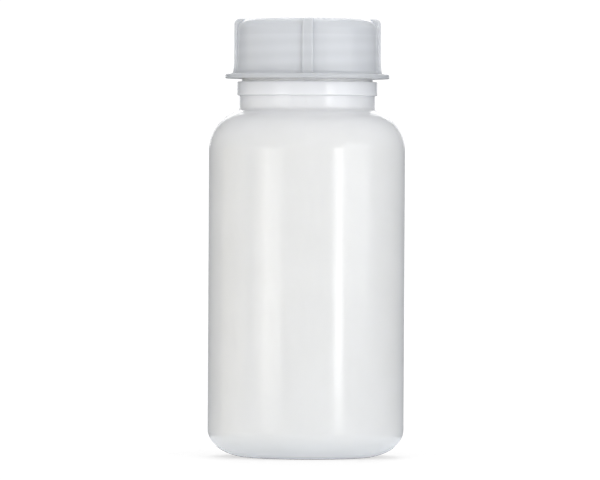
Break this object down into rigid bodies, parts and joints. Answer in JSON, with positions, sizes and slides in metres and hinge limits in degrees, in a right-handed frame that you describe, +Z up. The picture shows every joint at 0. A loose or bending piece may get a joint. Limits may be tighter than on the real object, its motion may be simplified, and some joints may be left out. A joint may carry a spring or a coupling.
{
  "type": "wide-neck reagent bottle",
  "caption": "Cylindrical wide-neck laboratory bottle in milky translucent plastic, with a ribbed and flanged screw cap that unscrews from its threaded neck.",
  "frame": {"origin": "under the middle of the bottle, on the surface it stands on", "axes": "+Z up along the bottle's axis, towards the cap; -Y towards the viewer of the front"},
  "size_m": [0.075, 0.075, 0.1677],
  "materials": {
    "bottle_plastic": "translucent milky natural polyethylene, satin",
    "cap_plastic": "translucent natural polyethylene, satin",
    "liner_foam": "matte white foamed polyethylene"
  },
  "bodies": {
    "bottle_body": {"bottle": "bottle_plastic"},
    "liner_body": {"cap_liner": "liner_foam"},
    "cap_body": {"screw_cap": "cap_plastic"}
  },
  "joints": [
    {"name": "cap_rise", "type": "slide", "parent": "bottle_body", "child": "liner_body", "axis": [0, 0, 1], "range_m": [0, 0.025]},
    {"name": "cap_turn", "type": "hinge", "parent": "liner_body", "child": "cap_body", "pos_m": [0, 0, 0.1447], "axis": [0, 0, 1], "range_deg": [0, 1800]}
  ],
  "couplings": [
    {"joint": "cap_rise", "follows": "cap_turn", "m_per_rad": 0.00079577}
  ]
}
